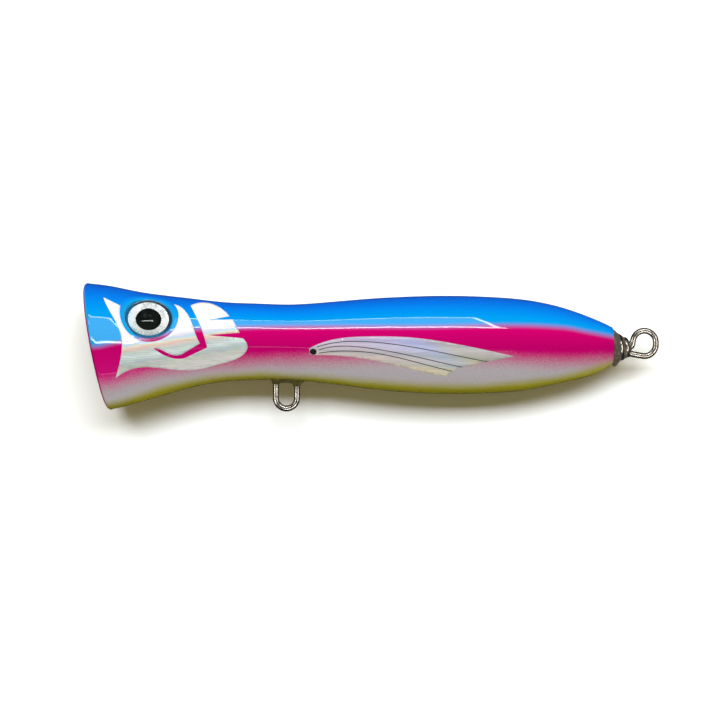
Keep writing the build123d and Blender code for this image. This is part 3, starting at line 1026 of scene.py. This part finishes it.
def collar_ring(leg, level, belly, flare, run):
    """Points round one leg at one level."""
    below = max(belly - level, 0)
    reach = WIRE_R + 0.12 + flare * math.exp(-below / 0.7) + 0.35 * (level > belly)
    points = []
    for a in np.linspace(0, 2 * math.pi, COLLAR_STEPS, endpoint=False):
        out = reach + run * max(math.cos(a), 0) * math.exp(-below / 0.5)
        points.append(((leg + out * math.cos(a)) * MM, reach * 0.9 * math.sin(a) * MM, level * MM))
    return points


def hanger_collar():
    """The painted epoxy round the hanger's legs, joined by a saddle between them."""
    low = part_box("hanger_bedding")[0].z / MM
    front, rear = (end.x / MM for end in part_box("belly_hanger"))
    legs = (front + LEG_INSET, rear - LEG_INSET)
    middle = sum(legs) / 2
    centre, radius = section(middle)
    belly = float(centre - radius)
    work = bmesh.new()
    for leg, bottom, (flare, run) in zip(legs, (low + 0.65, low), COLLAR_FLARES):
        previous = None
        for level in np.linspace(belly + COLLAR_TOP, bottom, 16):
            ring = [work.verts.new(point) for point in collar_ring(leg, level, belly, flare, run)]
            if previous:
                for i in range(COLLAR_STEPS):
                    j = (i + 1) % COLLAR_STEPS
                    work.faces.new((previous[i], previous[j], ring[j], ring[i]))
            else:
                work.faces.new(ring)
            previous = ring
        work.faces.new(previous[::-1])
    saddle = bmesh.ops.create_cube(work, size=1.0)["verts"]
    for vertex in saddle:
        vertex.co.x = (middle + vertex.co.x * (legs[1] - legs[0])) * MM
        vertex.co.y = vertex.co.y * SADDLE_WIDTH * MM
        vertex.co.z = (belly + COLLAR_TOP if vertex.co.z > 0 else belly - SADDLE_DROP) * MM
    bmesh.ops.recalc_face_normals(work, faces=work.faces)
    mesh = bpy.data.meshes.new("hanger_collar")
    work.to_mesh(mesh)
    work.free()
    collar = link_object("hanger_collar", mesh)
    remesh = collar.modifiers.new("union", "REMESH")
    remesh.mode = "VOXEL"
    remesh.voxel_size = 0.16 * MM
    soften = collar.modifiers.new("soften", "SMOOTH")
    soften.factor = 0.5
    soften.iterations = 9
    apply_modifiers(collar)
    collar.data.materials.clear()
    collar.data.materials.append(collar_material())
    return settle(collar, "paint_and_coat", "hanger_bedding")


def repaint(material, *nodes):
    """A carried-over CAD node gets a finished material."""
    for node in nodes:
        mesh = frame["nodes"][node].data
        mesh.materials.clear()
        mesh.materials.append(material)


painted_body()
lay_foil("cheek_foil", "foil_head", cheek_foil_material(), "holographic_foil")
lay_foil("fin_rays", "foil_fin", fin_foil_material(), "holographic_foil", line_material())
root_dots()
tail_epoxy()
cup_epoxy()
hanger_collar()
repaint(iris_material(), "eye_film_left", "eye_film_right")
repaint(pupil_material(), "eye_pupil_left", "eye_pupil_right")
repaint(resin_material(), "eye_dome_left", "eye_dome_right")
repaint(wire_material(), "through_wire", "belly_hanger")
repaint(plain_epoxy_material(), "wire_bedding")
repaint(wood_material(), "wood_left", "wood_right")
repaint(lead_material(), "ballast_belly", "ballast_tail")


# ---- stage, light and camera ----
TABLE_COLOUR = (0.33, 0.29, 0.14, 1)
TABLE_MIRRORED = (0.03, 0.03, 0.03, 1)


def table_material():
    """Dull olive, which lamp_table brings up to white, so the lure's shadow on it stays olive.

    It is dim in the gloss, and can't be seen from behind.
    """
    s = Shader("white_table")
    paths = s.add("LightPath").outputs
    paper = s.add("BsdfDiffuse", Color=TABLE_COLOUR).outputs[0]
    dim = s.add("Emission", Color=TABLE_MIRRORED).outputs[0]
    clear = s.add("BsdfTransparent").outputs[0]
    shown = s.choose(paths["Is Glossy Ray"], paper, dim)
    behind = s.math("MAXIMUM", s.add("NewGeometry").outputs["Backfacing"], paths["Is Shadow Ray"])
    return s.show(s.choose(behind, shown, clear))


TABLE_GAP = 0.7                 # keeps the curved flank clear of the table
TABLE_HALF = 2500.0


def table_plane():
    """The table under the right flank, just clear of the mouth and of the body's thickest place."""
    thickest = np.linspace(70, 125, 60)
    rear_x = thickest[section(thickest)[1].argmax()]
    rear = float(section(rear_x)[1])
    mouth = COAT_POINTS[:, 1].max()
    mouth_x = RIM_CENTRE[0]
    slope = (rear - mouth) / (rear_x - mouth_x)
    corners = []
    for along, up in ((-1, -1), (1, -1), (1, 1), (-1, 1)):
        dx = along * TABLE_HALF
        corners.append((mouth_x + dx, mouth + TABLE_GAP + dx * slope, up * TABLE_HALF))
    plane = new_object("table", corners, [(0, 1, 2, 3)], table_material())
    return plane


LAMP_Y = -400.0                 # the lamp frame hangs in front of the left flank, above it
LAMP_X = (-125.0, 200.0)
LAMP_Z = (353.0, 925.0)
LAMP_WIDTH = 30.0
FAINT_Z = -110.0                # a faint strip, lower than the lure
LAMP_RADIANCE = 18.0
PANEL_RADIANCE = 1.4            # the white sheet inside the frame
TABLE_LAMP_PLACE = (-2400.0, 960.0)     # its Y and Z
TABLE_LAMP_SIZE = (2400, 800)
TABLE_LAMP_RADIANCE = 112.0
TABLE_LAMP_COLOUR = (0.38, 0.45, 1.0)
WIRE_LAMP_Y = -500.0
WIRE_LAMP_RADIANCE = 6.0
WIRE_LAMP_COLOUR = (1.0, 0.98, 0.94)
WIRE_LAMPS = {                  # place along X from the lure's middle, height, size
    "lamp_wire_high": (150, 420, (500, 170)),
    "lamp_wire_low": (150, -300, (500, 170)),
    "lamp_wire_left": (-420, 0, (190, 500)),
    "lamp_wire_right": (480, 0, (190, 500)),
}


def area_light(name, place, aim, size, radiance, seen=True):
    """An evenly bright rectangular lamp, which the camera and the clear resin don't see."""
    data = bpy.data.lights.new(name, "AREA")
    data.shape = "RECTANGLE"
    data.size, data.size_y = (s * MM for s in size)
    data.energy = radiance * math.pi * data.size * data.size_y
    lamp = link_object(name, data)
    lamp.location = Vector(place) * MM
    lamp.rotation_euler = (Vector(aim) - Vector(place)).to_track_quat("-Z", "Y").to_euler()
    lamp.visible_camera = False
    lamp.visible_transmission = False
    lamp.visible_glossy = seen
    return lamp


def lit_alone(lamp, colour, *receivers):
    """A lamp that lights only the given objects, in whose light all others still cast a shadow."""
    group = bpy.data.collections.new(f"{lamp.name}_receivers")
    for receiver in receivers:
        group.objects.link(receiver)
    lamp.data.color = colour
    lamp.light_linking.receiver_collection = group


def lamp_frame():
    """Bright strips round a dim white sheet, and a faint strip below: thin lines in the gloss."""
    middle_x, middle_z = sum(LAMP_X) / 2, sum(LAMP_Z) / 2
    width, height = LAMP_X[1] - LAMP_X[0], LAMP_Z[1] - LAMP_Z[0]
    for name, z in (("lamp_lower", LAMP_Z[0]), ("lamp_upper", LAMP_Z[1])):
        place = (middle_x, LAMP_Y, z)
        area_light(name, place, (middle_x, 0, z), (width + LAMP_WIDTH, LAMP_WIDTH), LAMP_RADIANCE)
    place = (middle_x, LAMP_Y - 10, middle_z)
    panel = area_light("lamp_panel", place, (middle_x, 0, middle_z), (width, height), PANEL_RADIANCE)
    coated = ("painted", "cheek", "fin_rays", "root")
    glossy = [part for part in bpy.data.objects if part.name.startswith(coated)]
    lit_alone(panel, (1.0, 1.0, 1.0), *glossy)
    for name, x in (("lamp_nose", LAMP_X[0]), ("lamp_tail", LAMP_X[1])):
        place = (x, LAMP_Y, middle_z)
        area_light(name, place, (x, 0, middle_z), (LAMP_WIDTH / 3, height - LAMP_WIDTH), LAMP_RADIANCE)
    place = (middle_x, LAMP_Y, FAINT_Z)
    area_light("lamp_faint", place, (middle_x, 0, FAINT_Z), (width, LAMP_WIDTH / 2), PANEL_RADIANCE)


def single_lamps(table):
    """One lamp that whitens the table beyond the lure's shadow, and four that light only the wires."""
    middle = TAIL_END / 2
    place = (middle, *TABLE_LAMP_PLACE)
    lamp = area_light("lamp_table", place, (middle, 20, 0), TABLE_LAMP_SIZE, TABLE_LAMP_RADIANCE, seen=False)
    lit_alone(lamp, TABLE_LAMP_COLOUR, table)
    wires = [frame["nodes"][node] for node in ("through_wire", "belly_hanger")]
    for name, (dx, z, size) in WIRE_LAMPS.items():
        lamp = area_light(name, (middle + dx, WIRE_LAMP_Y, z), (middle, 0, 0), size, WIRE_LAMP_RADIANCE)
        lit_alone(lamp, WIRE_LAMP_COLOUR, *wires)


def soft_world():
    """Soft light from high in front, from behind and from below, and a white ground for the camera.

    The gloss and the clear resin see a darker room, bright only behind and above.
    """
    s = Shader("studio", bpy.data.worlds, "OutputWorld")
    way = s.add("TexCoord").outputs["Generated"]

    def lobe(direction, strength, narrow=1.0):
        facing = s.vector("DOT_PRODUCT", way, Vector(direction).normalized())
        return s.math("MULTIPLY", s.math("POWER", s.math("MAXIMUM", facing, 0.0), narrow), strength)

    def background(strength):
        return s.add("Background", Color=(1, 1, 1, 1), Strength=strength).outputs[0]

    paths = s.add("LightPath").outputs
    high_and_back = s.math("ADD", lobe((0, -0.85, 0.5), 0.70), lobe((0, 1, 0.3), 0.75))
    soft = s.math("ADD", high_and_back, s.math("ADD", lobe((0, -0.6, -0.8), 0.38), 0.17))
    gloss = s.math("ADD", lobe((0, 0.87, 0.5), 0.4, 9.0), 0.006)
    mirrored = s.math("MAXIMUM", paths["Is Glossy Ray"], paths["Is Transmission Ray"])
    seen = s.choose(mirrored, background(soft), background(gloss))
    bpy.context.scene.world = s.show(s.choose(paths["Is Camera Ray"], seen, background(1.0)))


CAMERA_PLACE = (0.0748, -0.750, -0.0036)        # metres
LENS = 125.0
SENSOR = 36.0


def camera():
    """Square to the left flank."""
    data = bpy.data.cameras.new("camera")
    data.sensor_width = SENSOR
    data.lens = LENS
    made = link_object("camera", data)
    made.location = CAMERA_PLACE
    made.rotation_euler = (math.radians(90), 0, 0)
    bpy.context.scene.camera = made


single_lamps(table_plane())
lamp_frame()
soft_world()
camera()
bpy.context.scene.view_settings.view_transform = "Standard"
